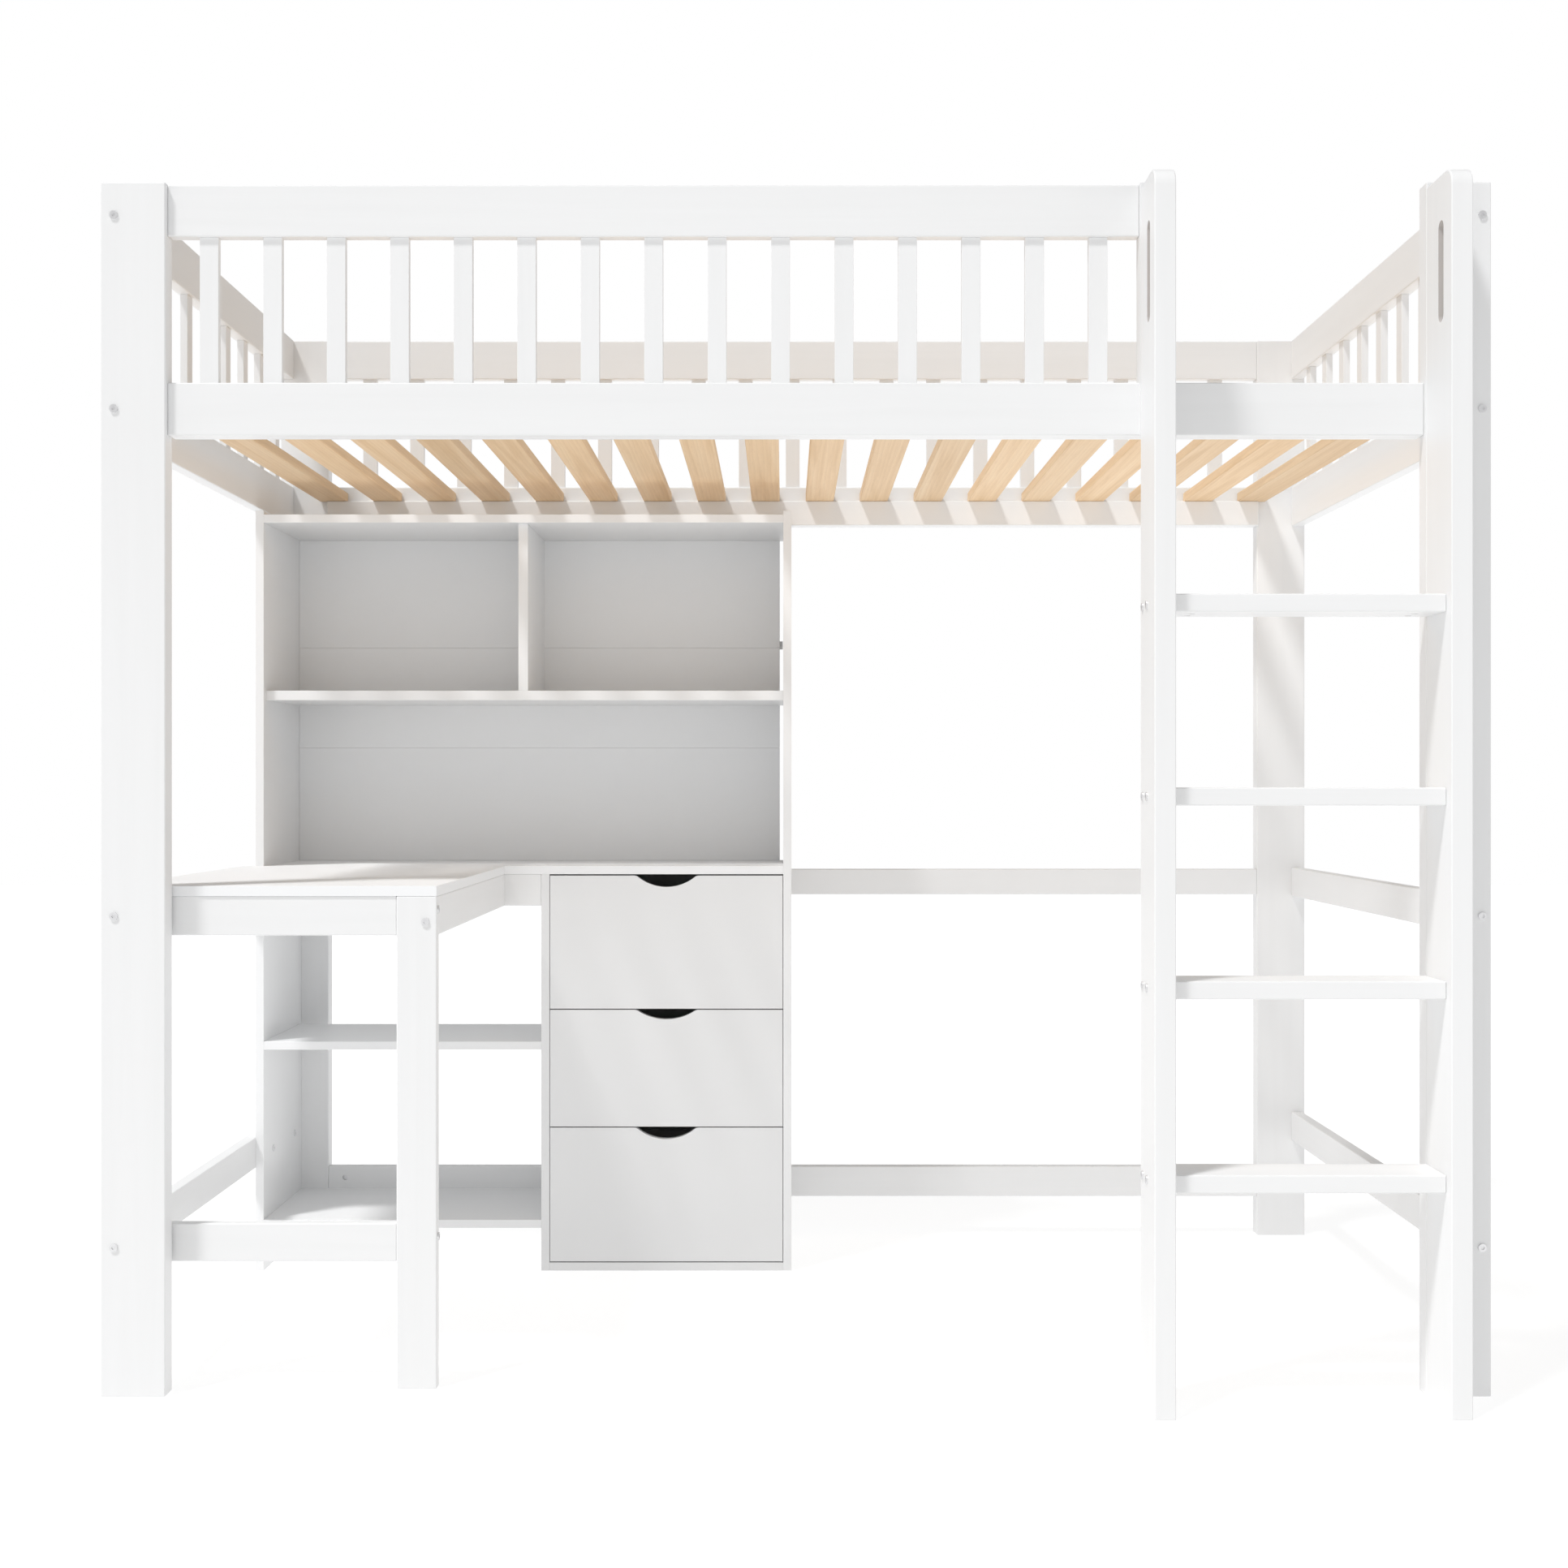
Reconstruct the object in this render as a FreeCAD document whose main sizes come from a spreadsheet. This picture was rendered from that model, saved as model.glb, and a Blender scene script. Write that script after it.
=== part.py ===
"""Loft bed with an L-shaped desk, open shelves, three drawers and a fixed ladder.

Frame: X runs along the bed, -Y is the front, +Z is up.  The origin is on the floor,
under the middle of the bed's bounding box.
"""
import FreeCAD, Part
import math
import os
import re
from FreeCAD import Placement, Rotation, Vector

# alias, millimetres, what it is
DIMENSIONS = [
    ("bed_length", 2019.0, "over the outer faces of the posts"),
    ("bed_depth", 1064.0, "front face of the front posts to rear face of the rear posts"),
    ("front_face", -479.1, "front face of the front posts, from the origin"),
    ("post_width", 94.0, "along the bed"),
    ("post_thick", 33.5, "across the bed"),
    ("post_height", 1764.0, "floor to post top"),
    ("rail_thick", 22.0, "side rails, guard rails, end rails and stretchers"),
    ("end_inset", 4.0, "outer face of a post to outer face of the end rails"),
    ("side_rail_bottom", 1398.0, "underside of the mattress rails"),
    ("side_rail_height", 77.0, "mattress rails"),
    ("guard_bottom", 1688.0, "underside of the guard rails"),
    ("guard_height", 75.0, "guard rails"),
    ("baluster_thick", 12.0, "through the guard"),
    ("baluster_width", 27.3, "along the guard"),
    ("baluster_pitch", 92.7, "front and rear guards"),
    ("end_baluster_pitch", 112.0, "end guards"),
    ("ledger_height", 48.0, "strip that carries the slats"),
    ("ledger_thick", 14.0, "strip that carries the slats"),
    ("slat_width", 55.0, "along the bed"),
    ("slat_thick", 17.5, "each slat"),
    ("slat_pitch", 106.3, "centre to centre"),
    ("slat_play", 1.0, "slat end to side rail"),
    ("stretcher_height", 56.0, "stretchers at the two ends"),
    ("low_stretcher_bottom", 187.5, "lower end stretchers"),
    ("rear_upper_bottom", 672.0, "upper rear stretcher"),
    ("rear_upper_height", 50.0, "upper rear stretcher"),
    ("rear_lower_bottom", 77.0, "lower rear stretcher"),
    ("rear_lower_height", 59.0, "lower rear stretcher"),
    ("stile_width", 30.0, "short post that ends the front guard at the ladder"),
    ("ladder_left", 500.5, "left face of the ladder"),
    ("ladder_rail_thick", 30.5, "ladder side, along the bed"),
    ("ladder_depth", 108.0, "ladder side, front to back"),
    ("ladder_height", 1755.0, "ladder side"),
    ("ladder_corner", 25.0, "radius at the top front of a ladder side"),
    ("grip_width", 22.0, "hand slot in a ladder side"),
    ("grip_length", 144.0, "hand slot, end to end"),
    ("grip_bottom", 1546.0, "foot of the hand slot"),
    ("grip_setback", 34.0, "ladder front to the hand slot"),
    ("step_thick", 25.5, "ladder step"),
    ("step_setback", 21.0, "ladder front to step front"),
    ("step_first", 339.0, "top of the lowest step"),
    ("step_rise", 273.0, "step to step"),
    ("panel", 15.0, "boards of the desk and the storage unit"),
    ("inner_panel", 17.5, "middle shelf and divider of the storage unit"),
    ("desk_height", 740.0, "desk surface"),
    ("desk_front", 37.0, "post front to desk front"),
    ("desk_right", -527.8, "right edge of the desk return"),
    ("apron_height", 58.0, "boards under the desk"),
    ("apron_thick", 18.0, "front apron and foot rail of the desk"),
    ("leg_width", 59.2, "desk leg, along the bed"),
    ("leg_thick", 20.0, "desk leg, front to back"),
    ("unit_left", -983.5, "left face of the storage unit"),
    ("unit_width", 980.0, "storage unit"),
    ("unit_front", 747.0, "post front to unit front"),
    ("unit_depth", 283.5, "storage unit"),
    ("unit_height", 1390.0, "side panels of the storage unit"),
    ("unit_top", 1383.0, "upper face of the top panel"),
    ("shelf_setback", 16.0, "unit front to the middle shelf"),
    ("middle_shelf_bottom", 1044.0, "shelf over the desk"),
    ("divider_left", -505.0, "left face of the divider over the middle shelf"),
    ("low_shelf_bottom", 404.0, "shelf beside the drawers"),
    ("bottom_shelf_bottom", 78.0, "lowest shelf beside the drawers"),
    ("back_setback", 266.0, "unit front to the hutch's back boards"),
    ("back_thick", 12.0, "hutch's back boards"),
    ("back_gap", 7.0, "back boards to the right panel"),
    ("back_joint_low", 961.0, "lower joint of the back boards"),
    ("back_joint_high", 1157.0, "upper joint of the back boards"),
    ("batten_height", 16.0, "strip behind the upper joint"),
    ("cabinet_left", -461.0, "left face of the drawer cabinet"),
    ("cabinet_back_thick", 5.0, "back of the drawer cabinet"),
    ("front_gap_side", 1.0, "drawer front to cabinet side"),
    ("pull_width", 110.0, "cut-out in a drawer front"),
    ("pull_flare", 12.0, "radius at the two ends of the cut-out"),
    ("runner_space", 13.0, "drawer side to cabinet side"),
    ("drawer_side", 12.0, "drawer sides and back"),
    ("drawer_base", 4.0, "drawer bottom"),
    ("drawer_length", 246.0, "drawer box behind its front"),
    ("runner_length", 240.0, "drawer runner"),
    ("runner_height", 28.0, "drawer runner"),
    ("runner_depth", 10.5, "drawer runner"),
    ("channel_height", 35.0, "runner channel"),
    ("channel_depth", 10.0, "runner channel"),
    ("channel_wall", 1.2, "runner channel"),
    ("round_edge", 2.0, "eased edge of solid wood"),
    ("panel_edge", 0.6, "eased edge of a board"),
    ("joint_edge", 1.2, "eased edge of the hutch's back boards"),
    ("bolt_shank", 6.0, "diameter"),
    ("bolt_head", 12.0, "diameter"),
    ("head_height", 2.2, "bolt head"),
    ("bolt_socket", 5.0, "hexagon across flats"),
    ("socket_depth", 1.4, "hexagon socket"),
    ("bolt_bore", 7.0, "clearance hole"),
    ("nut_diameter", 10.0, "barrel nut"),
    ("nut_length", 10.0, "barrel nut"),
    ("nut_bore", 10.4, "hole for a barrel nut"),
    ("nut_reach", 33.0, "board end to barrel nut"),
    ("bolt_tail", 6.0, "bolt past its barrel nut"),
    ("screw_play", 0.2, "screw to its hole, on the radius"),
    ("insert_reach", 40.0, "bolt past a post into a threaded insert"),
    ("unit_bolt_length", 33.0, "storage unit to the end stretcher"),
    ("slat_screw_length", 35.0, "slat to ledger"),
    ("panel_screw_length", 48.0, "board to board"),
    ("recess_length", 4.4, "cross recess of a screw"),
    ("recess_width", 1.0, "cross recess of a screw"),
    ("recess_depth", 1.4, "cross recess of a screw"),
]

# inset of the end bolts from the outer face of the posts
END_BOLT_INSET = {"left": 19.5, "right": 13.0}
# heights of the bolts through the faces of the posts, by end board
END_BOLT_HEIGHTS = {
    "guard_rail": 1716.0,
    "side_rail": 1435.0,
    "upper_stretcher": 698.0,
    "lower_stretcher": 217.0,
}
# heights of the bolts through the width of the posts
SIDE_RAIL_BOLTS = (1412.0, 1452.0)
GUARD_RAIL_BOLTS = (1742.0,)
REAR_UPPER_BOLTS = (711.0,)
REAR_LOWER_BOLTS = (114.0,)
STILE_BOLT = 1726.0
# setbacks of the step bolts from the face of the posts, and heights of the ladder's mounting bolts
STEP_BOLT_SETBACKS = (18.0, 51.0)
LADDER_BOLT_HEIGHTS = {"left": (1461.0, 1640.0), "right": (200.0, 950.0, 1600.0)}
# front desk boards: height of the bolt at the leg, height of the bolt at the left end
DESK_BOLT_HEIGHTS = {"desk_front_apron": (705.0, 710.0), "desk_foot_rail": (223.0, 230.0)}
SIDE_APRON_BOLT = (-544.5, 687.0)
# setbacks from the post face, and height, of the bolts from the storage unit into the end stretcher
UNIT_BOLT_SETBACKS = (815.0, 975.0)
UNIT_BOLT_HEIGHT = 212.0
PANEL_SCREW_SETBACKS = (787.0, 990.0)


def make_sheet(doc):
    sheet = doc.addObject("Spreadsheet::Sheet", "dimensions")
    for row, (alias, size, note) in enumerate(DIMENSIONS, start=1):
        sheet.set("A%d" % row, alias)
        sheet.set("B%d" % row, str(size))
        sheet.set("C%d" % row, note)
        sheet.setAlias("B%d" % row, alias)
    doc.recompute()
    return sheet


doc = FreeCAD.newDocument("loft_bed_with_desk")
sheet = make_sheet(doc)
nodes = []


def mm(expression):
    """The value of an expression written with the sheet's aliases."""
    return float(sheet.evalExpression(str(expression)))


def bind(thing, prop, expression):
    """Bind a property to an expression written with the sheet's aliases."""
    named = re.sub(r"[a-z_]{3,}", lambda word: "dimensions." + word.group(), str(expression))
    thing.setExpression(prop, named)


def place(thing, corner):
    for axis, expression in zip("xyz", corner):
        bind(thing, ".Placement.Base." + axis, expression)


def node(thing, label):
    thing.Label = label
    nodes.append(thing)
    return thing


def plain_box(name, size):
    box = doc.addObject("Part::Box", name)
    for prop, expression in zip(("Length", "Width", "Height"), size):
        bind(box, prop, expression)
    return box


# ---------------------------------------------------------------- fasteners

AXES = {
    "+X": Vector(1, 0, 0), "-X": Vector(-1, 0, 0),
    "+Y": Vector(0, 1, 0), "-Y": Vector(0, -1, 0),
    "+Z": Vector(0, 0, 1), "-Z": Vector(0, 0, -1),
}


class Fastener:
    """A bolt or screw: the seat of its head, the way it points and its length.

    A bolt may end in a barrel nut, in a hole that opens on one face of one board.
    """

    def __init__(self, seat, way, length, nut=None, nut_open=None, nut_board=None):
        self.seat = Vector(*seat)
        self.way = AXES[way]
        self.length = length
        self.nut = nut
        self.nut_open = AXES[nut_open] if nut_open else None
        self.nut_board = nut_board

    def nut_centre(self):
        return self.seat + self.way * self.nut


def end_x(end, inset):
    """X of a line set in from the outer face of the posts at one end."""
    half = mm("bed_length / 2")
    return -half + inset if end == "left" else half - inset


def end_member_bolts():
    """Bolts through the posts into the four boards of each end."""
    faces = {"+Y": mm("front_face"), "-Y": mm("front_face + bed_depth")}
    bolts = []
    for end, outward in (("left", "-X"), ("right", "+X")):
        for way, seat_y in faces.items():
            for name, height in END_BOLT_HEIGHTS.items():
                seat = (end_x(end, END_BOLT_INSET[end]), seat_y, height)
                board_label = "%s_end_%s" % (end, name)
                bolts.append(post_bolt(seat, way, mm("post_thick"), outward, board_label))
    return bolts


def post_bolt(seat, way, grip, open_way, board):
    """A bolt that crosses a grip and reaches a barrel nut in the board behind it."""
    nut = grip + mm("nut_reach")
    return Fastener(seat, way, nut + mm("bolt_tail"), nut, open_way, board)


def long_post_bolts():
    """Bolts along the bed, through the width of the posts, into rails and stretchers."""
    front_line = mm("front_face + post_thick - rail_thick / 2")
    rear_line = mm("front_face + bed_depth - post_thick + rail_thick / 2")
    both = ("left", "right")
    rails = [
        ("front_side_rail", front_line, SIDE_RAIL_BOLTS, "+Y", both),
        ("front_guard_rail", front_line, GUARD_RAIL_BOLTS, "+Y", ("left",)),
        ("rear_side_rail", rear_line, SIDE_RAIL_BOLTS, "+Y", both),
        ("rear_guard_rail", rear_line, GUARD_RAIL_BOLTS, "+Y", both),
        ("rear_upper_stretcher", rear_line, REAR_UPPER_BOLTS, "+Y", both),
        ("rear_lower_stretcher", rear_line, REAR_LOWER_BOLTS, "-Y", both),
    ]
    bolts = []
    for board_label, line, heights, open_way, ends in rails:
        for end in ends:
            way = "+X" if end == "left" else "-X"
            for height in heights:
                seat = (end_x(end, 0.0), line, height)
                bolts.append(post_bolt(seat, way, mm("post_width"), open_way, board_label))
    seat = (mm("ladder_left + stile_width"), front_line, STILE_BOLT)
    bolts.append(post_bolt(seat, "-X", mm("stile_width"), "+Y", "front_guard_rail"))
    return bolts


def step_tops():
    return [mm("step_first") + level * mm("step_rise") for level in range(4)]


def step_bolts():
    """Two bolts through each ladder side into each end of each step."""
    left_face = mm("ladder_left")
    right_face = mm("bed_length / 2 - post_width + ladder_rail_thick")
    bolts = []
    for number, top in enumerate(step_tops(), start=1):
        centre = top - mm("step_thick / 2")
        for setback in STEP_BOLT_SETBACKS:
            line = mm("front_face") - setback
            for seat_x, way in ((left_face, "+X"), (right_face, "-X")):
                seat = (seat_x, line, centre)
                board = "ladder_step_%d" % number
                bolts.append(post_bolt(seat, way, mm("ladder_rail_thick"), "-Z", board))
    return bolts


def ladder_mount_bolts():
    """Bolts from behind that hold the ladder to the bed; they end in threaded inserts."""
    behind = mm("front_face + post_thick")
    lines = {
        "left": mm("ladder_left + ladder_rail_thick / 2"),
        "right": mm("bed_length / 2 - post_width + ladder_rail_thick / 2"),
    }
    length = mm("post_thick + insert_reach")
    return [
        Fastener((lines[side], behind, height), "-Y", length)
        for side, heights in LADDER_BOLT_HEIGHTS.items()
        for height in heights
    ]


def desk_bolts():
    """Bolts at the desk leg, and from the left end's stretchers into the desk's front boards."""
    leg_front = mm("front_face + desk_front")
    leg_middle = leg_front + mm("leg_thick / 2")
    outer_left = mm("end_inset - bed_length / 2")
    line, height = SIDE_APRON_BOLT
    bolts = [post_bolt((line, leg_front, height), "+Y", mm("leg_thick"), "-X", "desk_side_apron")]
    for board_label, (leg_height, end_height) in DESK_BOLT_HEIGHTS.items():
        seat = (mm("desk_right"), leg_middle, leg_height)
        bolts.append(post_bolt(seat, "-X", mm("leg_width"), "+Y", board_label))
        seat = (outer_left, leg_middle, end_height)
        bolts.append(post_bolt(seat, "+X", mm("rail_thick"), "+Y", board_label))
    return bolts


def unit_bolts():
    """Bolts from inside the storage unit into the left end's lower stretcher."""
    face = mm("unit_left + panel")
    return [
        Fastener((face, mm("front_face") + setback, UNIT_BOLT_HEIGHT), "-X", mm("unit_bolt_length"))
        for setback in UNIT_BOLT_SETBACKS
    ]


def slat_screws():
    """One screw through each end of each slat into its ledger."""
    seat_z = mm("side_rail_bottom + ledger_height + slat_thick")
    ledger_middle = mm("ledger_thick / 2")
    front_line = mm("front_face + post_thick") + ledger_middle
    rear_line = mm("front_face + bed_depth - post_thick") - ledger_middle
    return [
        Fastener((slat_x, line, seat_z), "-Z", mm("slat_screw_length"))
        for slat_x in slat_centres()
        for line in (front_line, rear_line)
    ]


def panel_screws():
    """Screws that hold the storage unit's boards together."""
    half = mm("panel / 2")
    left = mm("unit_left")
    right = mm("unit_left + unit_width")
    wall = mm("cabinet_left")
    top = mm("unit_top") - half
    middle = mm("middle_shelf_bottom + inner_panel / 2")
    desk = mm("desk_height") - half
    low = mm("low_shelf_bottom") + half
    bottom = mm("bottom_shelf_bottom") + half
    sides = [(left, "+X", (top, middle, desk, low, bottom))]
    sides += [(right, "-X", (top, middle, desk, half))]
    sides += [(wall + mm("panel"), "-X", (low, bottom)), (wall, "+X", (half,))]
    divider = mm("divider_left + inner_panel / 2")
    length = mm("panel_screw_length")
    screws = []
    for setback in PANEL_SCREW_SETBACKS:
        line = mm("front_face") + setback
        for face, way, heights in sides:
            screws += [Fastener((face, line, height), way, length) for height in heights]
        screws.append(Fastener((wall + half, line, mm("desk_height")), "-Z", length))
        screws.append(Fastener((divider, line, mm("middle_shelf_bottom")), "+Z", length))
        screws.append(Fastener((divider, line, mm("unit_top")), "-Z", length))
    return screws


def slat_centres():
    middle = (18 - 1) / 2.0
    return [(index - middle) * mm("slat_pitch") for index in range(18)]


FRAME_BOLTS = end_member_bolts() + long_post_bolts()
STEP_BOLTS = step_bolts()
OTHER_BOLTS = ladder_mount_bolts() + desk_bolts() + unit_bolts()
ALL_BOLTS = FRAME_BOLTS + STEP_BOLTS + OTHER_BOLTS
SLAT_SCREWS = slat_screws()
PANEL_SCREWS = panel_screws()


def turned(shape, seat, way):
    """A shape drawn along +Z, moved to a seat and turned to point a given way."""
    copy = shape.copy()
    copy.Placement = Placement(seat, Rotation(Vector(0, 0, 1), way))
    return copy


def bolt_shape(length):
    """Cylinder head with a hexagon socket, seated at the origin, and a shank along +Z."""
    head = Part.makeCylinder(mm("bolt_head / 2"), mm("head_height"), Vector(0, 0, -mm("head_height")))
    shank = Part.makeCylinder(mm("bolt_shank / 2"), length)
    corner = mm("bolt_socket / 2") / math.cos(math.radians(30))
    turns = [math.radians(60 * index) for index in range(7)]
    points = [Vector(corner * math.cos(t), corner * math.sin(t), -mm("head_height")) for t in turns]
    socket = Part.Face(Part.makePolygon(points)).extrude(Vector(0, 0, mm("socket_depth")))
    return head.fuse(shank).cut(socket).removeSplitter()


def screw_shape(head_radius, shank_radius, length):
    """Countersunk screw, its flat head with a cross recess at the origin, its shank along +Z."""
    head_depth = head_radius - shank_radius
    cone = Part.makeCone(head_radius, shank_radius, head_depth)
    shank = Part.makeCylinder(shank_radius, length - head_depth, Vector(0, 0, head_depth))
    long_side, short_side = mm("recess_length"), mm("recess_width")
    depth = mm("recess_depth")
    screw = cone.fuse(shank)
    for size_x, size_y in ((long_side, short_side), (short_side, long_side)):
        screw = screw.cut(Part.makeBox(size_x, size_y, depth, Vector(-size_x / 2, -size_y / 2, 0)))
    return screw.removeSplitter()


def nut_shape(fastener):
    """Barrel nut whose axis runs to the open face and whose cross hole clears the bolt."""
    start = fastener.nut_centre() - fastener.nut_open * mm("nut_length / 2")
    barrel = Part.makeCylinder(mm("nut_diameter / 2"), mm("nut_length"), start, fastener.nut_open)
    hole_start = fastener.nut_centre() - fastener.way * mm("nut_diameter")
    hole = Part.makeCylinder(
        mm("bolt_shank / 2 + screw_play"), mm("nut_diameter * 2"), hole_start, fastener.way
    )
    return barrel.cut(hole)


def fastener_group(label, shapes):
    group = doc.addObject("Part::Feature", label)
    group.Shape = Part.makeCompound(shapes)
    group.Placement = Placement()
    return node(group, label)


# ------------------------------------------------------------------- boards

SCREW_SIZES = {"slat": (4.0, 2.0), "panel": (5.0, 2.5)}


def drill_cylinders(label, corner, size):
    """Holes that the fasteners need in one board, in the board's own frame."""
    box = Part.makeBox(size.x, size.y, size.z, corner)
    holes = []

    def add(radius, start, way, depth):
        tool = Part.makeCylinder(radius, depth, start, way)
        if box.BoundBox.intersect(tool.BoundBox) and box.common(tool).Volume > 1.0:
            holes.append(("cylinder", radius, radius, start - corner, way, depth))
            return True
        return False

    for bolt in ALL_BOLTS:
        if add(mm("bolt_bore / 2"), bolt.seat, bolt.way, bolt.length + 1.0):
            if bolt.nut_board == label:
                start = bolt.nut_centre() - bolt.nut_open * mm("nut_length / 2")
                add(mm("nut_bore / 2"), start, bolt.nut_open, 40.0)
    for screws, kind in ((SLAT_SCREWS, "slat"), (PANEL_SCREWS, "panel")):
        head, shank = (radius + mm("screw_play") for radius in SCREW_SIZES[kind])
        for screw in screws:
            if add(shank, screw.seat, screw.way, screw.length + 0.5):
                if box.distToShape(Part.Vertex(screw.seat))[0] < 0.01 and on_face(box, screw):
                    holes.append(("cone", head, shank, screw.seat - corner, screw.way, head - shank))
    return holes


def on_face(box, screw):
    """True where a screw's head sits in this box, which lies ahead of its seat."""
    return box.isInside(screw.seat + screw.way * 0.5, 0.01, True)


def drill_tool(label, holes):
    tools = []
    for number, (kind, first, second, start, way, depth) in enumerate(holes, start=1):
        name = "%s_hole_%d" % (label, number)
        if kind == "cone":
            tool = doc.addObject("Part::Cone", name)
            tool.Radius1 = first
            tool.Radius2 = second
        else:
            tool = doc.addObject("Part::Cylinder", name)
            tool.Radius = first
        tool.Height = depth
        tool.Placement = Placement(start, Rotation(Vector(0, 0, 1), way))
        tools.append(tool)
    if len(tools) == 1:
        return tools[0]
    fused = doc.addObject("Part::MultiFuse", label + "_holes")
    fused.Shapes = tools
    return fused


def drilled(label, blank, corner, size):
    """Cut a board's fastener holes; the result is placed at the board's corner."""
    place_at = Vector(*(mm(expression) for expression in corner))
    size_now = Vector(*(mm(expression) for expression in size))
    holes = drill_cylinders(label, place_at, size_now)
    result = blank
    if holes:
        result = doc.addObject("Part::Cut", label)
        result.Base = blank
        result.Tool = drill_tool(label, holes)
    place(result, corner)
    result.Label = label
    return result


def board(label, corner, size, edge="round_edge"):
    """A board: a box with eased edges and the holes that its fasteners need."""
    box = plain_box(label + "_blank", size)
    eased = doc.addObject("Part::Fillet", label + "_eased")
    eased.Base = box
    radius = mm(edge)
    eased.Edges = [(number, radius, radius) for number in range(1, 13)]
    return drilled(label, eased, corner, size)


def solid_board(label, corner, size, edge="round_edge"):
    return node(board(label, corner, size, edge), label)


def group(label, members):
    compound = doc.addObject("Part::Compound", label)
    compound.Links = members
    return node(compound, label)


# ---------------------------------------------------------------- bed frame

OUTER_LEFT = "-bed_length / 2"
POST_RIGHT = "bed_length / 2 - post_width"
INNER_LEFT = "post_width - bed_length / 2"
REAR_POSTS = "front_face + bed_depth - post_thick"
BEHIND_POSTS = "front_face + post_thick"
CLEAR_LENGTH = "bed_length - 2 * post_width"
CLEAR_DEPTH = "bed_depth - 2 * post_thick"
FRONT_RAIL_Y = "front_face + post_thick - rail_thick"
BALUSTER_HEIGHT = "guard_bottom - side_rail_bottom - side_rail_height"
BALUSTER_FOOT = "side_rail_bottom + side_rail_height"


def make_posts():
    size = ("post_width", "post_thick", "post_height")
    for label, left, front in (
        ("front_left_post", OUTER_LEFT, "front_face"),
        ("front_right_post", POST_RIGHT, "front_face"),
        ("rear_left_post", OUTER_LEFT, REAR_POSTS),
        ("rear_right_post", POST_RIGHT, REAR_POSTS),
    ):
        solid_board(label, (left, front, 0), size)


def make_mattress_rails():
    size = (CLEAR_LENGTH, "rail_thick", "side_rail_height")
    solid_board("front_side_rail", (INNER_LEFT, FRONT_RAIL_Y, "side_rail_bottom"), size)
    solid_board("rear_side_rail", (INNER_LEFT, REAR_POSTS, "side_rail_bottom"), size)
    ledger_size = (CLEAR_LENGTH, "ledger_thick", "ledger_height")
    rear_ledger = REAR_POSTS + " - ledger_thick"
    ledgers = [
        board("front_ledger", (INNER_LEFT, BEHIND_POSTS, "side_rail_bottom"), ledger_size),
        board("rear_ledger", (INNER_LEFT, rear_ledger, "side_rail_bottom"), ledger_size),
    ]
    group("slat_ledgers", ledgers)


def make_slats():
    size = ("slat_width", CLEAR_DEPTH + " - 2 * slat_play", "slat_thick")
    slats = []
    for number, centre in enumerate(slat_centres(), start=1):
        corner = (
            "%.4f - slat_width / 2" % centre,
            BEHIND_POSTS + " + slat_play",
            "side_rail_bottom + ledger_height",
        )
        slats.append(board("slat_%02d" % number, corner, size))
    group("bed_slats", slats)


def balusters(label, count, middle, across, size, along_x, pitch):
    """A row of balusters centred on a point, along the bed or across it."""
    pieces = []
    for index in range(count):
        line = "%s + (%.1f) * %s" % (middle, index - (count - 1) / 2.0, pitch)
        if along_x:
            corner = (line + " - baluster_width / 2", across, BALUSTER_FOOT)
        else:
            corner = (across, line + " - baluster_width / 2", BALUSTER_FOOT)
        pieces.append(board("%s_%02d" % (label, index + 1), corner, size, "panel_edge"))
    group(label, pieces)


def make_long_guards():
    guard_length = "ladder_left - post_width + bed_length / 2"
    size = (guard_length, "rail_thick", "guard_height")
    solid_board("front_guard_rail", (INNER_LEFT, FRONT_RAIL_Y, "guard_bottom"), size)
    size = (CLEAR_LENGTH, "rail_thick", "guard_height")
    solid_board("rear_guard_rail", (INNER_LEFT, REAR_POSTS, "guard_bottom"), size)
    size = ("baluster_width", "baluster_thick", BALUSTER_HEIGHT)
    inset = "(rail_thick - baluster_thick) / 2"
    front_middle = "(ladder_left + post_width - bed_length / 2) / 2"
    front_line = FRONT_RAIL_Y + " + " + inset
    balusters("front_balusters", 15, front_middle, front_line, size, True, "baluster_pitch")
    rear_line = REAR_POSTS + " + " + inset
    balusters("rear_balusters", 19, "0", rear_line, size, True, "baluster_pitch")


def make_guard_stile():
    """The stile runs down in front of the side rail, so its foot is notched over the rail."""
    label = "front_guard_stile"
    size = ("stile_width", "post_thick", "guard_bottom + guard_height - side_rail_bottom")
    corner = ("ladder_left", "front_face", "side_rail_bottom")
    blank = plain_box(label + "_blank", size)
    notch = plain_box(label + "_notch", ("stile_width", "rail_thick", "side_rail_height"))
    place(notch, (0, "post_thick - rail_thick", 0))
    notched = doc.addObject("Part::Cut", label + "_notched")
    notched.Base = blank
    notched.Tool = notch
    node(drilled(label, notched, corner, size), label)


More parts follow.
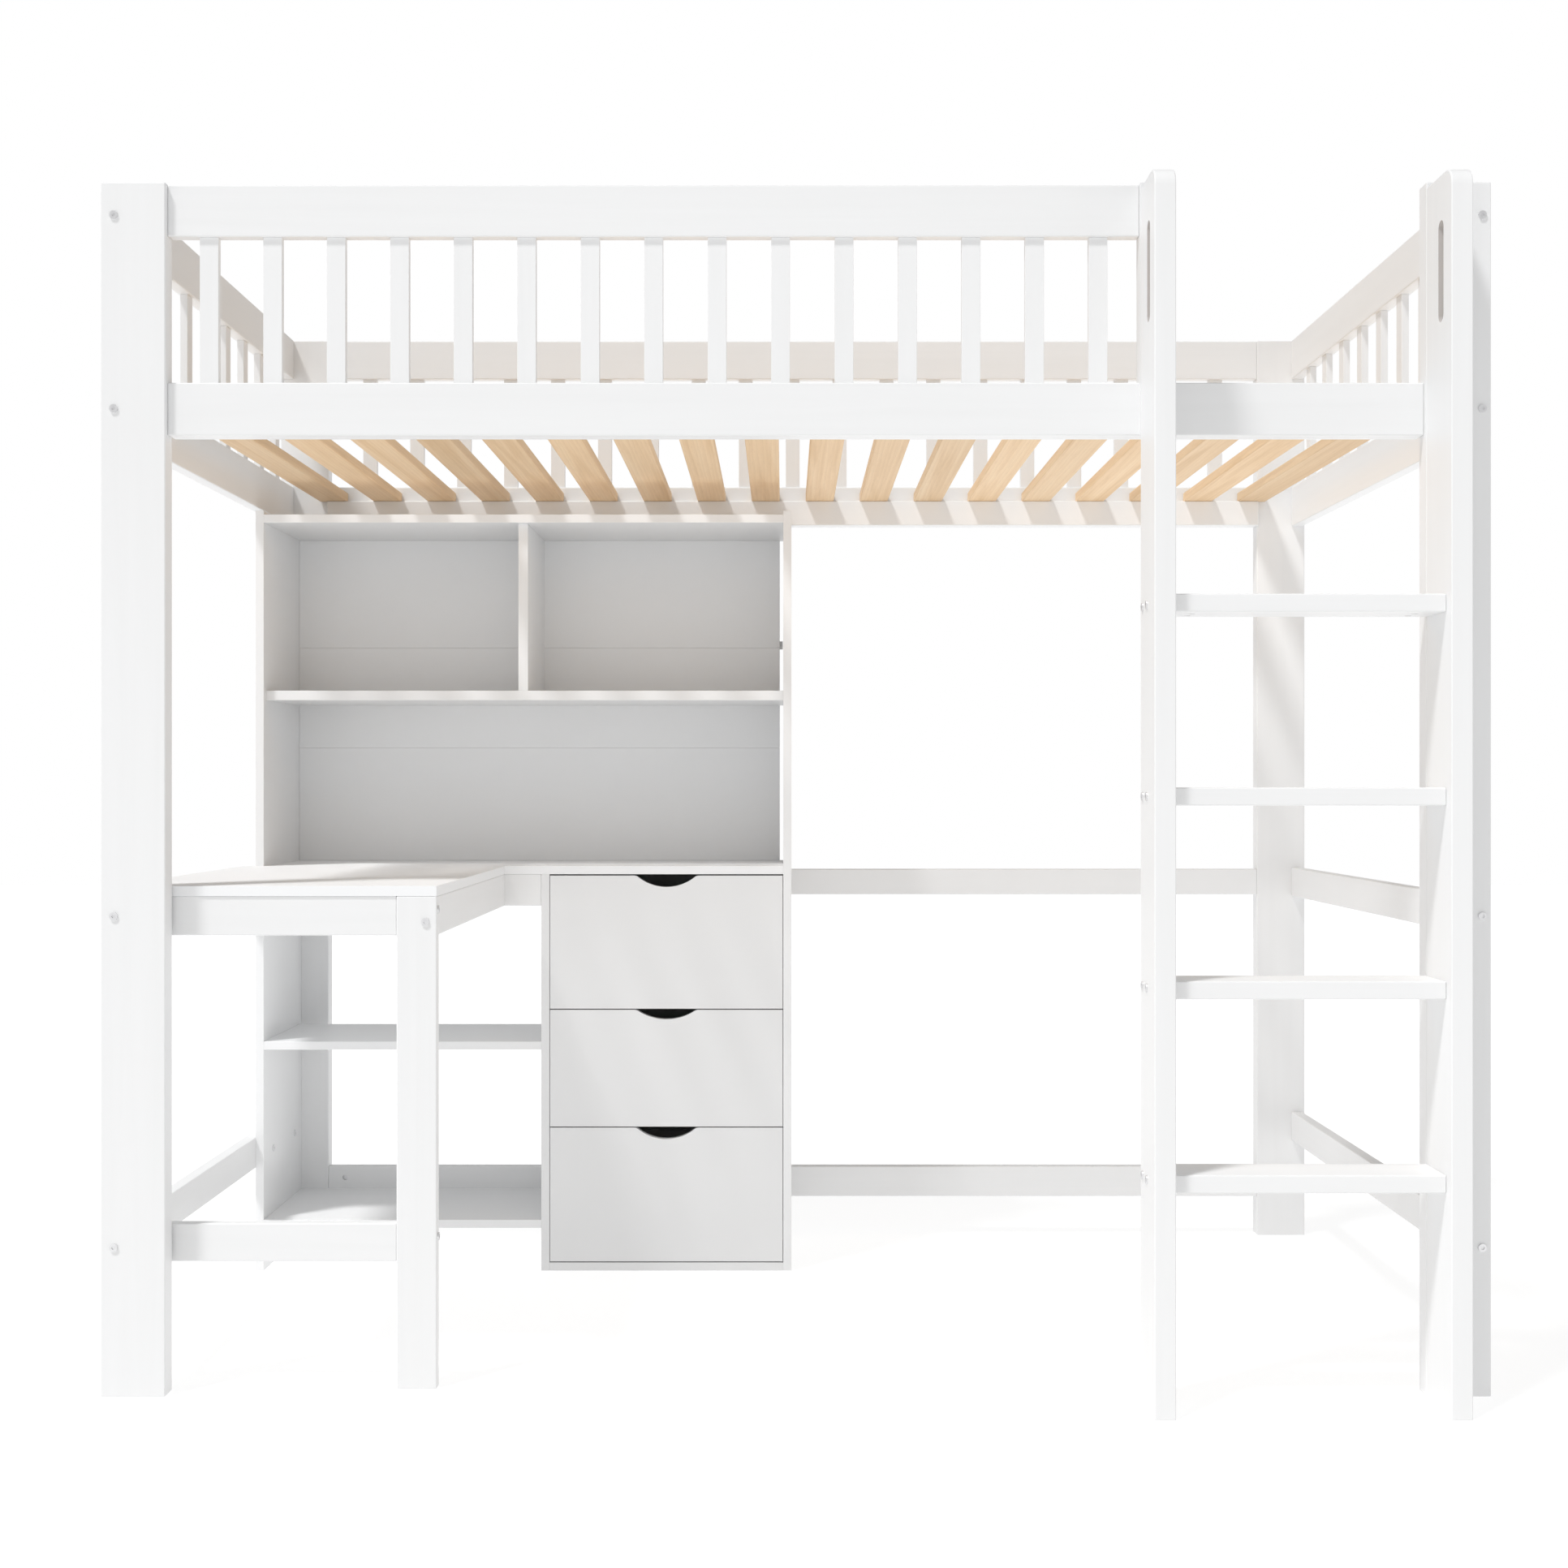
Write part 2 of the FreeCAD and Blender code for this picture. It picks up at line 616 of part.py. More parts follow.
def make_ends():
    rear_to_front = CLEAR_DEPTH
    middle = "front_face + bed_depth / 2"
    boards = {
        "guard_rail": ("guard_bottom", "post_height - guard_bottom"),
        "side_rail": ("side_rail_bottom", "side_rail_height"),
        "upper_stretcher": ("desk_height - panel - stretcher_height", "stretcher_height"),
        "lower_stretcher": ("low_stretcher_bottom", "stretcher_height"),
    }
    size = ("baluster_thick", "baluster_width", BALUSTER_HEIGHT)
    lefts = {
        "left": "end_inset - bed_length / 2",
        "right": "bed_length / 2 - end_inset - rail_thick",
    }
    for end, left in lefts.items():
        made = {}
        for name, (bottom, height) in boards.items():
            label = "%s_end_%s" % (end, name)
            corner = (left, BEHIND_POSTS, bottom)
            made[name] = board(label, corner, ("rail_thick", rear_to_front, height))
        node(made["guard_rail"], end + "_end_guard_rail")
        node(made["side_rail"], end + "_end_side_rail")
        group(end + "_end_stretchers", [made["upper_stretcher"], made["lower_stretcher"]])
        across = left + " + (rail_thick - baluster_thick) / 2"
        label = end + "_end_balusters"
        balusters(label, 8, middle, across, size, False, "end_baluster_pitch")


def make_rear_stretchers():
    for name in ("rear_upper", "rear_lower"):
        corner = (INNER_LEFT, REAR_POSTS, name + "_bottom")
        size = (CLEAR_LENGTH, "rail_thick", name + "_height")
        solid_board(name + "_stretcher", corner, size)


# ------------------------------------------------------------------- ladder

def grip_slot(name):
    """A slot with round ends, through a ladder side along X, with its foot at the origin."""
    radius = "grip_width / 2"
    middle = plain_box(name + "_middle", ("ladder_rail_thick + 2", "grip_width", "grip_length - grip_width"))
    place(middle, (0, "0 - grip_width / 2", radius))
    pieces = [middle]
    for place_name, height in (("foot", radius), ("top", "grip_length - grip_width / 2")):
        end = doc.addObject("Part::Cylinder", "%s_%s" % (name, place_name))
        bind(end, "Radius", radius)
        bind(end, "Height", "ladder_rail_thick + 2")
        end.Placement = Placement(Vector(), Rotation(Vector(0, 0, 1), Vector(1, 0, 0)))
        place(end, (0, 0, height))
        pieces.append(end)
    slot = doc.addObject("Part::MultiFuse", name)
    slot.Shapes = pieces
    place(slot, (-1, "grip_setback + grip_width / 2", "grip_bottom"))
    return slot


def nearest_edges(shape, wanted):
    """Numbers of the edges whose middle passes a test."""
    found = []
    for number, edge in enumerate(shape.Edges, start=1):
        middle = edge.CenterOfMass
        if wanted(middle, edge):
            found.append(number)
    return found


def make_ladder_side(label, left):
    size = ("ladder_rail_thick", "ladder_depth", "ladder_height")
    corner = (left, "front_face - ladder_depth", 0)
    blank = plain_box(label + "_blank", size)
    doc.recompute([blank])
    top = mm("ladder_height")
    corner_edge = nearest_edges(blank.Shape, lambda middle, edge: middle.y < 1 and middle.z > top - 1)
    rounded = doc.addObject("Part::Fillet", label + "_rounded")
    rounded.Base = blank
    rounded.Edges = [(number, mm("ladder_corner"), mm("ladder_corner")) for number in corner_edge]
    doc.recompute([rounded])
    eased = doc.addObject("Part::Fillet", label + "_eased")
    eased.Base = rounded
    radius = mm("round_edge")
    every = nearest_edges(rounded.Shape, lambda middle, edge: len(sharp_faces(rounded.Shape, edge)) == 2)
    eased.Edges = [(number, radius, radius) for number in every]
    slotted = doc.addObject("Part::Cut", label + "_slotted")
    slotted.Base = eased
    slotted.Tool = grip_slot(label + "_grip")
    node(drilled(label, slotted, corner, size), label)


def sharp_faces(shape, edge):
    """The two faces that meet at an edge, or none where they run on smoothly."""
    faces = [face for face in shape.Faces if any(edge.isSame(other) for other in face.Edges)]
    at = edge.valueAt((edge.FirstParameter + edge.LastParameter) / 2)
    normals = [face.normalAt(*face.Surface.parameter(at)) for face in faces]
    if len(normals) == 2 and normals[0].getAngle(normals[1]) > 0.1:
        return faces
    return []


def make_ladder():
    make_ladder_side("ladder_left_side", "ladder_left")
    make_ladder_side("ladder_right_side", POST_RIGHT)
    between = POST_RIGHT + " - ladder_left - ladder_rail_thick"
    size = (between, "ladder_depth - step_setback", "step_thick")
    steps = []
    for level in range(4):
        corner = (
            "ladder_left + ladder_rail_thick",
            "front_face - ladder_depth + step_setback",
            "step_first + %d * step_rise - step_thick" % level,
        )
        steps.append(board("ladder_step_%d" % (level + 1), corner, size))
    group("ladder_steps", steps)


# --------------------------------------------------------------------- desk

def make_desk():
    under = "desk_height - panel"
    apron_bottom = under + " - apron_height"
    outer_left = "end_inset - bed_length / 2"
    inner_left = outer_left + " + rail_thick"
    front = "front_face + desk_front"
    back = "front_face + unit_front"
    leg_left = "desk_right - leg_width"
    front_board_y = front + " + leg_thick - apron_thick"
    solid_board(
        "desk_return_top",
        (outer_left, front, under),
        ("desk_right - end_inset + bed_length / 2", "unit_front - desk_front", "panel"),
        "panel_edge",
    )
    solid_board("desk_leg", (leg_left, front, 0), ("leg_width", "leg_thick", under))
    front_length = leg_left + " - end_inset + bed_length / 2 - rail_thick"
    solid_board(
        "desk_front_apron",
        (inner_left, front_board_y, apron_bottom),
        (front_length, "apron_thick", "apron_height"),
    )
    solid_board(
        "desk_foot_rail",
        (inner_left, front_board_y, "low_stretcher_bottom"),
        (front_length, "apron_thick", "stretcher_height"),
    )
    solid_board(
        "desk_side_apron",
        ("desk_right - rail_thick", front + " + leg_thick", apron_bottom),
        ("rail_thick", "unit_front - desk_front - leg_thick", "apron_height"),
    )
    solid_board(
        "desk_rear_apron",
        ("unit_left + panel", back, apron_bottom),
        ("cabinet_left - unit_left - panel", "apron_thick", "apron_height"),
    )


# ------------------------------------------------------------- storage unit

def make_unit_sides():
    front = "front_face + unit_front"
    size = ("panel", "unit_depth", "unit_height")
    solid_board("unit_left_panel", ("unit_left", front, 0), size, "panel_edge")
    right = "unit_left + unit_width - panel"
    solid_board("unit_right_panel", (right, front, 0), size, "panel_edge")


def make_unit_shelves():
    front = "front_face + unit_front"
    inner_left = "unit_left + panel"
    full = "unit_width - 2 * panel"
    beside = "cabinet_left - unit_left - panel"
    shelf_depth = "back_setback - shelf_setback"
    set_back = front + " + shelf_setback"
    rows = [
        ("unit_top_panel", front, "unit_top - panel", full, "unit_depth"),
        ("unit_desk_shelf", front, "desk_height - panel", full, "unit_depth"),
        ("unit_low_shelf", front, "low_shelf_bottom", beside, "back_setback"),
        ("unit_bottom_shelf", front, "bottom_shelf_bottom", beside, "unit_depth"),
    ]
    for label, start, bottom, width, depth in rows:
        solid_board(label, (inner_left, start, bottom), (width, depth, "panel"), "panel_edge")
    solid_board(
        "unit_middle_shelf",
        (inner_left, set_back, "middle_shelf_bottom"),
        (full, shelf_depth, "inner_panel"),
        "panel_edge",
    )
    solid_board(
        "unit_divider",
        ("divider_left", set_back, "middle_shelf_bottom + inner_panel"),
        ("inner_panel", shelf_depth, "unit_top - panel - inner_panel - middle_shelf_bottom"),
        "panel_edge",
    )


def make_hutch_back():
    start = "front_face + unit_front + back_setback"
    left = "unit_left + panel"
    width = "unit_width - 2 * panel - back_gap"
    levels = ["desk_height", "back_joint_low", "back_joint_high", "unit_top - panel"]
    boards = []
    for number in range(3):
        bottom = levels[number]
        height = "%s - %s" % (levels[number + 1], bottom)
        label = "hutch_back_board_%d" % (number + 1)
        boards.append(board(label, (left, start, bottom), (width, "back_thick", height), "joint_edge"))
    batten_size = (width + " + back_gap - 1", "unit_depth - back_setback - back_thick", "batten_height")
    batten_corner = (left, start + " + back_thick", "back_joint_high - 2")
    boards.append(board("hutch_back_batten", batten_corner, batten_size, "panel_edge"))
    group("hutch_back_boards", boards)


def make_cabinet():
    front = "front_face + unit_front"
    inner = "cabinet_left + panel"
    width = "unit_left + unit_width - 2 * panel - cabinet_left"
    solid_board(
        "cabinet_left_panel",
        ("cabinet_left", front, 0),
        ("panel", "unit_depth", "desk_height - panel"),
        "panel_edge",
    )
    solid_board("cabinet_bottom_panel", (inner, front, 0), (width, "unit_depth", "panel"), "panel_edge")
    solid_board(
        "cabinet_back_panel",
        (inner, front + " + unit_depth - cabinet_back_thick - 5", "panel"),
        (width, "cabinet_back_thick", "desk_height - 2 * panel"),
        "panel_edge",
    )


# ------------------------------------------------------------------ drawers

# name, bottom and top of the drawer front, depth of its cut-out
DRAWERS = [
    ("bottom", 17.0, 261.5, 21.0),
    ("middle", 263.5, 477.0, 17.5),
    ("top", 479.0, 722.5, 21.0),
]
BOX_LIFT = 12.0
BOX_SHORTFALL = 60.0
RUNNER_LIFT = 40.0


def make_drawer_front(name, bottom, top, pull_depth):
    """A board whose top edge has a shallow round cut-out with flared ends, for the fingers."""
    label = name + "_drawer_front"
    width = "unit_left + unit_width - 2 * panel - cabinet_left - 2 * front_gap_side"
    size = (width, "panel", top - bottom)
    blank = plain_box(label + "_blank", size)
    pull = doc.addObject("Part::Cylinder", label + "_pull")
    radius = "(pull_width * pull_width / 4 + %.2f * %.2f) / (2 * %.2f)" % ((pull_depth,) * 3)
    bind(pull, "Radius", radius)
    bind(pull, "Height", "panel + 2")
    pull.Placement = Placement(Vector(), Rotation(Vector(0, 0, 1), Vector(0, 1, 0)))
    place(pull, ("(%s) / 2" % width, -1, "%s - %.2f + %s" % (top - bottom, pull_depth, radius)))
    cut = doc.addObject("Part::Cut", label + "_cut")
    cut.Base = blank
    cut.Tool = pull
    doc.recompute([blank, pull, cut])
    reach = mm("pull_width / 2")
    centre = mm("(%s) / 2" % width)

    def at_pull_end(middle, edge):
        near_end = abs(abs(middle.x - centre) - reach) < 1.0
        return near_end and middle.z > top - bottom - 1.0 and abs(middle.y - mm("panel / 2")) < 1.0

    flared = doc.addObject("Part::Fillet", label)
    flared.Base = cut
    flare = mm("pull_flare")
    flared.Edges = [(number, flare, flare) for number in nearest_edges(cut.Shape, at_pull_end)]
    place(flared, ("cabinet_left + panel + front_gap_side", "front_face + unit_front", bottom))
    node(flared, label)


def make_drawer_box(name, bottom, top):
    """Two sides, a back and a bottom board, as separate pieces."""
    left = "cabinet_left + panel + runner_space"
    width = "unit_left + unit_width - 2 * panel - cabinet_left - 2 * runner_space"
    inner_width = width + " - 2 * drawer_side"
    start = "front_face + unit_front + panel"
    floor = bottom + BOX_LIFT
    height = top - bottom - BOX_SHORTFALL
    right = "%s + %s - drawer_side" % (left, width)
    side_size = ("drawer_side", "drawer_length", height)
    back_start = start + " + drawer_length - drawer_side"
    pieces = [
        board(name + "_drawer_left", (left, start, floor), side_size, "panel_edge"),
        board(name + "_drawer_right", (right, start, floor), side_size, "panel_edge"),
        board(
            name + "_drawer_back",
            (left + " + drawer_side", back_start, floor),
            (inner_width, "drawer_side", height),
            "panel_edge",
        ),
        board(
            name + "_drawer_base",
            (left + " + drawer_side", start, floor),
            (inner_width, "drawer_length - drawer_side", "drawer_base"),
            "panel_edge",
        ),
    ]
    group(name + "_drawer_box", pieces)


def make_drawer_runners(name, bottom):
    size = ("runner_depth", "runner_length", "runner_height")
    start = "front_face + unit_front + panel + 3"
    height = bottom + RUNNER_LIFT
    left = "cabinet_left + panel + runner_space - runner_depth"
    right = "unit_left + unit_width - panel - runner_space"
    pieces = [
        board(name + "_runner_left", (left, start, height), size, "panel_edge"),
        board(name + "_runner_right", (right, start, height), size, "panel_edge"),
    ]
    group(name + "_drawer_runners", pieces)


def runner_channel(name, left, bottom, opens_right):
    """A channel with its web on the cabinet side and its mouth to the drawer."""
    size = ("channel_depth", "runner_length", "channel_height")
    outer = plain_box(name + "_outer", size)
    inner_size = ("channel_depth", "runner_length + 2", "channel_height - 2 * channel_wall")
    inner = plain_box(name + "_inner", inner_size)
    place(inner, ("channel_wall" if opens_right else "0 - channel_wall", -1, "channel_wall"))
    channel = doc.addObject("Part::Cut", name)
    channel.Base = outer
    channel.Tool = inner
    rise = bottom + RUNNER_LIFT
    drop = "%.2f + (runner_height - channel_height) / 2" % rise
    place(channel, (left, "front_face + unit_front + panel + 3", drop))
    return channel


def make_drawers():
    channels = []
    right_wall = "unit_left + unit_width - panel - channel_depth"
    for name, bottom, top, pull_depth in DRAWERS:
        make_drawer_front(name, bottom, top, pull_depth)
        make_drawer_box(name, bottom, top)
        make_drawer_runners(name, bottom)
        channels.append(runner_channel(name + "_channel_left", "cabinet_left + panel", bottom, True))
        channels.append(runner_channel(name + "_channel_right", right_wall, bottom, False))
    group("runner_channels", channels)


# ---------------------------------------------------------------- fasteners

def make_fasteners():
    bolts = FRAME_BOLTS + OTHER_BOLTS
    fastener_group("connector_bolts", [turned(bolt_shape(b.length), b.seat, b.way) for b in bolts])
    steps = [turned(bolt_shape(b.length), b.seat, b.way) for b in STEP_BOLTS]
    fastener_group("ladder_step_bolts", steps)
    fastener_group("barrel_nuts", [nut_shape(b) for b in ALL_BOLTS if b.nut])
    slat_screw = screw_shape(*SCREW_SIZES["slat"], mm("slat_screw_length"))
    fastener_group("slat_screws", [turned(slat_screw, s.seat, s.way) for s in SLAT_SCREWS])
    panel_screw = screw_shape(*SCREW_SIZES["panel"], mm("panel_screw_length"))
    fastener_group("panel_screws", [turned(panel_screw, s.seat, s.way) for s in PANEL_SCREWS])


def check_document():
    for thing in doc.Objects:
        if "Invalid" in thing.State or "Error" in thing.State:
            raise RuntimeError("%s failed: %s" % (thing.Label, thing.State))
    for thing in nodes:
        if thing.Shape.isNull() or not thing.Shape.isValid() or not thing.Shape.Solids:
            raise RuntimeError("%s has no valid shape" % thing.Label)
    labels = [thing.Label for thing in nodes]
    if len(set(labels)) != len(labels):
        raise RuntimeError("two sub-parts share a label")


def export_nodes():
    os.makedirs("parts", exist_ok=True)
    for thing in nodes:
        thing.Shape.exportStep("parts/%s.step" % thing.Label)


make_posts()
make_mattress_rails()
make_slats()
make_long_guards()
make_guard_stile()
make_ends()
make_rear_stretchers()
make_ladder()
make_desk()
make_unit_sides()
make_unit_shelves()
make_hutch_back()
make_cabinet()
make_drawers()
make_fasteners()
doc.recompute()
check_document()
export_nodes()
print("%d nodes, %d solids" % (len(nodes), sum(len(thing.Shape.Solids) for thing in nodes)))
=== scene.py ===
"""Looks for the loft bed with desk: painted wood, foil-faced boards, bare slats and zinc fittings."""
import math

import bpy
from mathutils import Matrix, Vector


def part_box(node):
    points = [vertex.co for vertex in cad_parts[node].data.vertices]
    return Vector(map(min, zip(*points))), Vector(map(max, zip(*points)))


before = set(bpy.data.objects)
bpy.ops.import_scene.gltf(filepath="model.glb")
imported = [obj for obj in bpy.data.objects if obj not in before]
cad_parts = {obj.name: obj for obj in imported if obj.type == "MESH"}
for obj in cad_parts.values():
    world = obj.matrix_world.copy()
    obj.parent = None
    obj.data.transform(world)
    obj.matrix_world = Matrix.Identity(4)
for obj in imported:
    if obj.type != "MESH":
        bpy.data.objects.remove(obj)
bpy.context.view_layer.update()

scene = bpy.context.scene

# ------------------------------------------------------------------ camera

POST_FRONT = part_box("front_left_post")[0].y
CAMERA_DISTANCE = 2.874      # from the front posts' faces
CAMERA_HEIGHT = 0.890
CAMERA_SIDE = -0.0171        # a little to the left of the bed's middle
SENSOR_WIDTH = 36.0          # mm
LENS = 45.46                 # mm
CLIP_END = 100.0


def add_camera():
    data = bpy.data.cameras.new("camera")
    data.sensor_fit = "HORIZONTAL"
    data.sensor_width = SENSOR_WIDTH
    data.lens = LENS
    data.clip_end = CLIP_END
    camera = bpy.data.objects.new("camera", data)
    camera.location = (CAMERA_SIDE, POST_FRONT - CAMERA_DISTANCE, CAMERA_HEIGHT)
    camera.rotation_euler = (math.radians(90), 0, 0)
    scene.collection.objects.link(camera)
    scene.camera = camera


# ------------------------------------------------------------ node building

# A Mix node's colour sockets share their names with its number sockets
MIX_FIRST = 6
MIX_SECOND = 7
MIX_RESULT = 2


class Nodes:
    """Fills one node tree."""

    def __init__(self, tree):
        self.tree = tree
        self.tree.nodes.clear()

    def add(self, kind, **settings):
        node = self.tree.nodes.new(kind)
        for name, value in settings.items():
            setattr(node, name, value)
        return node

    def link(self, source, target):
        self.tree.links.new(source, target)

    def feed(self, value, socket):
        """Links a socket, or sets a colour or a number."""
        if isinstance(value, bpy.types.NodeSocket):
            self.link(value, socket)
        elif isinstance(value, tuple):
            socket.default_value = (*value, 1.0)
        else:
            socket.default_value = value

    def split(self, vector):
        node = self.add("ShaderNodeSeparateXYZ")
        self.link(vector, node.inputs["Vector"])
        return node.outputs

    def maths(self, kind, first, second=0.0):
        node = self.add("ShaderNodeMath", operation=kind)
        for value, socket in zip((first, second), node.inputs):
            self.feed(value, socket)
        return node.outputs["Value"]

    def span(self, source, low, high, from_low=0.0, from_high=1.0):
        node = self.add("ShaderNodeMapRange")
        self.link(source, node.inputs["Value"])
        node.inputs["From Min"].default_value = from_low
        node.inputs["From Max"].default_value = from_high
        node.inputs["To Min"].default_value = low
        node.inputs["To Max"].default_value = high
        return node.outputs["Result"]


class Shader(Nodes):
    """One material: a Principled surface and what drives it."""

    def __init__(self, name):
        self.material = bpy.data.materials.new(name)
        self.material.use_nodes = True
        super().__init__(self.material.node_tree)
        output = self.add("ShaderNodeOutputMaterial")
        surface = self.add("ShaderNodeBsdfPrincipled")
        self.link(surface.outputs["BSDF"], output.inputs["Surface"])
        self.surface = surface.inputs
        self.coords = self.add("ShaderNodeTexCoord").outputs["Object"]

    def stretch(self, scale, source=None):
        """Coordinates in metres, scaled along each axis."""
        node = self.add("ShaderNodeMapping")
        node.inputs["Scale"].default_value = scale
        self.link(source or self.coords, node.inputs["Vector"])
        return node.outputs["Vector"]

    def noise(self, vector, scale=1.0, detail=2.0, rough=0.5, distort=0.0):
        node = self.add("ShaderNodeTexNoise")
        self.link(vector, node.inputs["Vector"])
        node.inputs["Scale"].default_value = scale
        node.inputs["Detail"].default_value = detail
        node.inputs["Roughness"].default_value = rough
        node.inputs["Distortion"].default_value = distort
        return node.outputs["Fac"]

    def ramp(self, source, stops):
        node = self.add("ShaderNodeValToRGB")
        self.link(source, node.inputs["Fac"])
        elements = node.color_ramp.elements
        while len(elements) < len(stops):
            elements.new(0.5)
        for element, (position, colour) in zip(elements, stops):
            element.position = position
            element.color = (*colour, 1.0)
        return node.outputs["Color"]

    def mix(self, factor, first, second):
        node = self.add("ShaderNodeMix", data_type="RGBA")
        self.feed(factor, node.inputs["Factor"])
        self.feed(first, node.inputs[MIX_FIRST])
        self.feed(second, node.inputs[MIX_SECOND])
        return node.outputs[MIX_RESULT]

    def bump(self, heights):
        """Bumps one on another: (height, distance in metres, strength)."""
        normal = None
        for height, distance, strength in heights:
            node = self.add("ShaderNodeBump")
            node.inputs["Distance"].default_value = distance
            node.inputs["Strength"].default_value = strength
            self.link(height, node.inputs["Height"])
            if normal:
                self.link(normal, node.inputs["Normal"])
            normal = node.outputs["Normal"]
        self.link(normal, self.surface["Normal"])


def along(axis, lengthwise, across):
    """A scale that is small along the grain and large across it."""
    return tuple(lengthwise if index == axis else across for index in range(3))


# --------------------------------------------------------------- materials

WHITE = (1.0, 1.0, 1.0)
PAINT = (0.859, 0.862, 0.865)
PAINT_DRY = (0.842, 0.845, 0.847)
PAINT_THICK = (0.870, 0.873, 0.876)
PAINT_WORN = (0.832, 0.834, 0.834)
# painted shade: the darker colour given to the hand slots' inner walls
PAINTED_SLOT_SHADE = (0.58, 0.55, 0.53)
FOIL = (0.876, 0.88, 0.884)
# Painted light: the desk tops' foil is paler than the other foil, standing in for the light they
# catch.
LIT_DESK_FOIL = (0.905, 0.912, 0.92)
# Painted shade: the drawer fronts' and cabinet's foil is darker than the other foil, standing in for
# the shade under the desk.
SHADED_FRONT_FOIL = (0.818, 0.821, 0.824)
FOIL_SHADE = 0.965           # of the foil's own colour, in its darker clouds
SLAT_DARK = (0.75, 0.515, 0.29)
SLAT_MIDDLE = (0.845, 0.615, 0.385)
SLAT_PALE = (0.885, 0.68, 0.455)
SLAT_LINE = (0.60, 0.395, 0.21)
SLAT_PORE = (0.54, 0.355, 0.195)
ZINC = (0.84, 0.84, 0.85)
SCREW_ZINC = (0.74, 0.73, 0.71)
ZINC_SHADE = 0.9
RUNNER_STEEL = (0.70, 0.71, 0.72)
FLOOR_DARK = (0.29, 0.29, 0.289)
FLOOR_PALE = (0.31, 0.31, 0.309)
FLOOR_GLOW = 0.8

# Each slat's number comes from its place along the bed, counted from left of the first one
SLAT_PITCH = 0.1063
SLAT_COUNT_START = 10 * SLAT_PITCH
SLAT_SHIFT = 7.0             # metres of wood between one slat's figure and another's, at most

# The hand slots in the ladder's sides, from the ladder's front and the floor
SLOT_START = 0.032
SLOT_END = 0.058
SLOT_BOTTOM = 1.545
SLOT_TOP = 1.691
SIDEWAYS = 0.5               # a face whose normal leans to X by more than this is a side face


def painted_wood(name, axis, slots=False):
    """Satin white paint over planed pine: faint grain and brush marks under the coat."""
    make = Shader(name)
    grain = make.noise(make.stretch(along(axis, 1.6, 38.0)), detail=4.0, rough=0.6, distort=0.6)
    fibre = make.noise(make.stretch(along(axis, 14.0, 520.0)))
    stipple = make.noise(make.coords, scale=850.0)
    cloud = make.noise(make.coords, scale=3.1)
    worn = make.span(cloud, 0.0, 0.35, from_low=0.5, from_high=0.8)
    base = make.ramp(grain, [(0.25, PAINT_DRY), (0.6, PAINT), (1.0, PAINT_THICK)])
    base = make.mix(worn, base, PAINT_WORN)
    if slots:
        # Painted shade: the hand slots' inner walls take a darker colour in place of the shadow
        # inside them.
        base = make.mix(slot_shade_mask(make), base, PAINTED_SLOT_SHADE)
    make.link(base, make.surface["Base Color"])
    make.link(make.span(grain, 0.36, 0.5), make.surface["Roughness"])
    make.surface["Coat Weight"].default_value = 0.12
    make.surface["Coat Roughness"].default_value = 0.3
    make.bump([(grain, 0.0006, 0.25), (fibre, 0.00012, 0.4), (stipple, 0.00006, 0.35)])
    return make.material


def slot_shade_mask(make):
    """1 on the inner walls of the hand slots, where a darker colour is painted in as shade."""
    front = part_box("ladder_left_side")[0].y
    place = make.split(make.coords)
    normal = make.split(make.add("ShaderNodeNewGeometry").outputs["True Normal"])
    inside = make.maths("LESS_THAN", make.maths("ABSOLUTE", normal["X"]), SIDEWAYS)
    for source, low, high in (
        (place["Y"], front + SLOT_START, front + SLOT_END),
        (place["Z"], SLOT_BOTTOM, SLOT_TOP),
    ):
        above = make.maths("GREATER_THAN", source, low)
        below = make.maths("LESS_THAN", source, high)
        inside = make.maths("MULTIPLY", inside, make.maths("MULTIPLY", above, below))
    return inside


def foil_panel(name, tint, rough):
    """White foil on board: almost smooth, with the press's fine grain."""
    make = Shader(name)
    emboss = make.noise(make.stretch((260.0, 260.0, 22.0)), detail=3.0, rough=0.55)
    flecks = make.noise(make.coords, scale=1400.0, detail=1.0)
    cloud = make.noise(make.coords, scale=2.2)
    clouded = make.span(cloud, 0.0, 1.0, from_low=0.35, from_high=0.75)
    shade = tuple(value * FOIL_SHADE for value in tint)
    make.link(make.mix(clouded, tint, shade), make.surface["Base Color"])
    make.link(make.span(emboss, rough - 0.04, rough + 0.08), make.surface["Roughness"])
    make.bump([(emboss, 0.00008, 0.35), (flecks, 0.00003, 0.3)])
    return make.material


